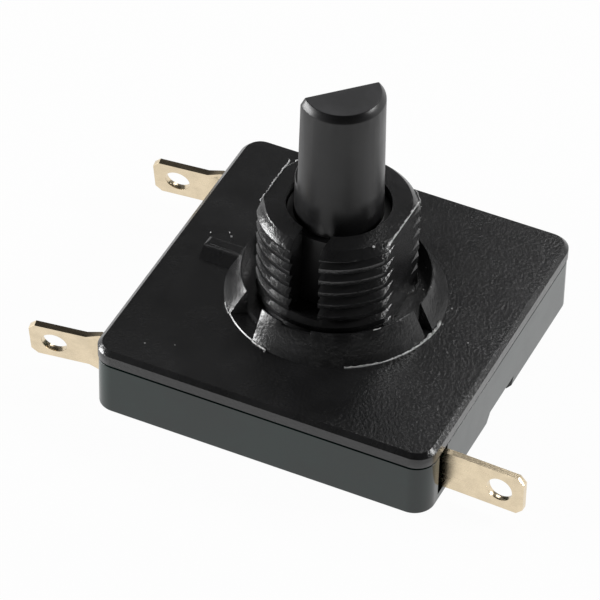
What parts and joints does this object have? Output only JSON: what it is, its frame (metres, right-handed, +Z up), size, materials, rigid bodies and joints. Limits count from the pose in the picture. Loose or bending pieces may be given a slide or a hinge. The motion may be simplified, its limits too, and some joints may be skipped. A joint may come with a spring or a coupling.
{
  "type": "rotary switch",
  "caption": "Panel rotary switch with a square black housing, a flatted threaded bush, a D-shaft and brass solder tags on the side walls.",
  "frame": {"origin": "middle of the housing's underside, on the shaft's axis", "axes": "+X towards the side wall with the single common tag, +Y towards the back wall, +Z up along the shaft"},
  "size_m": [0.0396, 0.027, 0.0252],
  "materials": {
    "cover_plastic": "moulded, satin",
    "base_plastic": "moulded, matt",
    "shaft_plastic": "moulded, satin",
    "tag_brass": "bright stamped sheet",
    "contact_silver": "silver faced",
    "spider_bronze": "sprung sheet",
    "spring_steel": "hardened strip"
  },
  "bodies": {
    "housing": {"base_housing": "base_plastic", "cover_bush": "cover_plastic", "terminal_common": "tag_brass", "terminal_one": "tag_brass", "terminal_two": "tag_brass", "contact_rivet_common": "contact_silver", "contact_rivet_one": "contact_silver", "contact_rivet_two": "contact_silver", "detent_spring_front": "spring_steel", "detent_spring_back": "spring_steel"},
    "rotor": {"rotor_shaft": "shaft_plastic", "contact_spider": "spider_bronze", "spider_tip_centre": "contact_silver", "spider_tip_front": "contact_silver", "spider_tip_back": "contact_silver"}
  },
  "joints": [
    {"name": "shaft_turn", "type": "hinge", "parent": "housing", "child": "rotor", "pos_m": [0, 0, 0.006], "axis": [0, 0, 1], "range_deg": [0, 270], "deforming": ["detent_spring_front", "detent_spring_back"]}
  ]
}
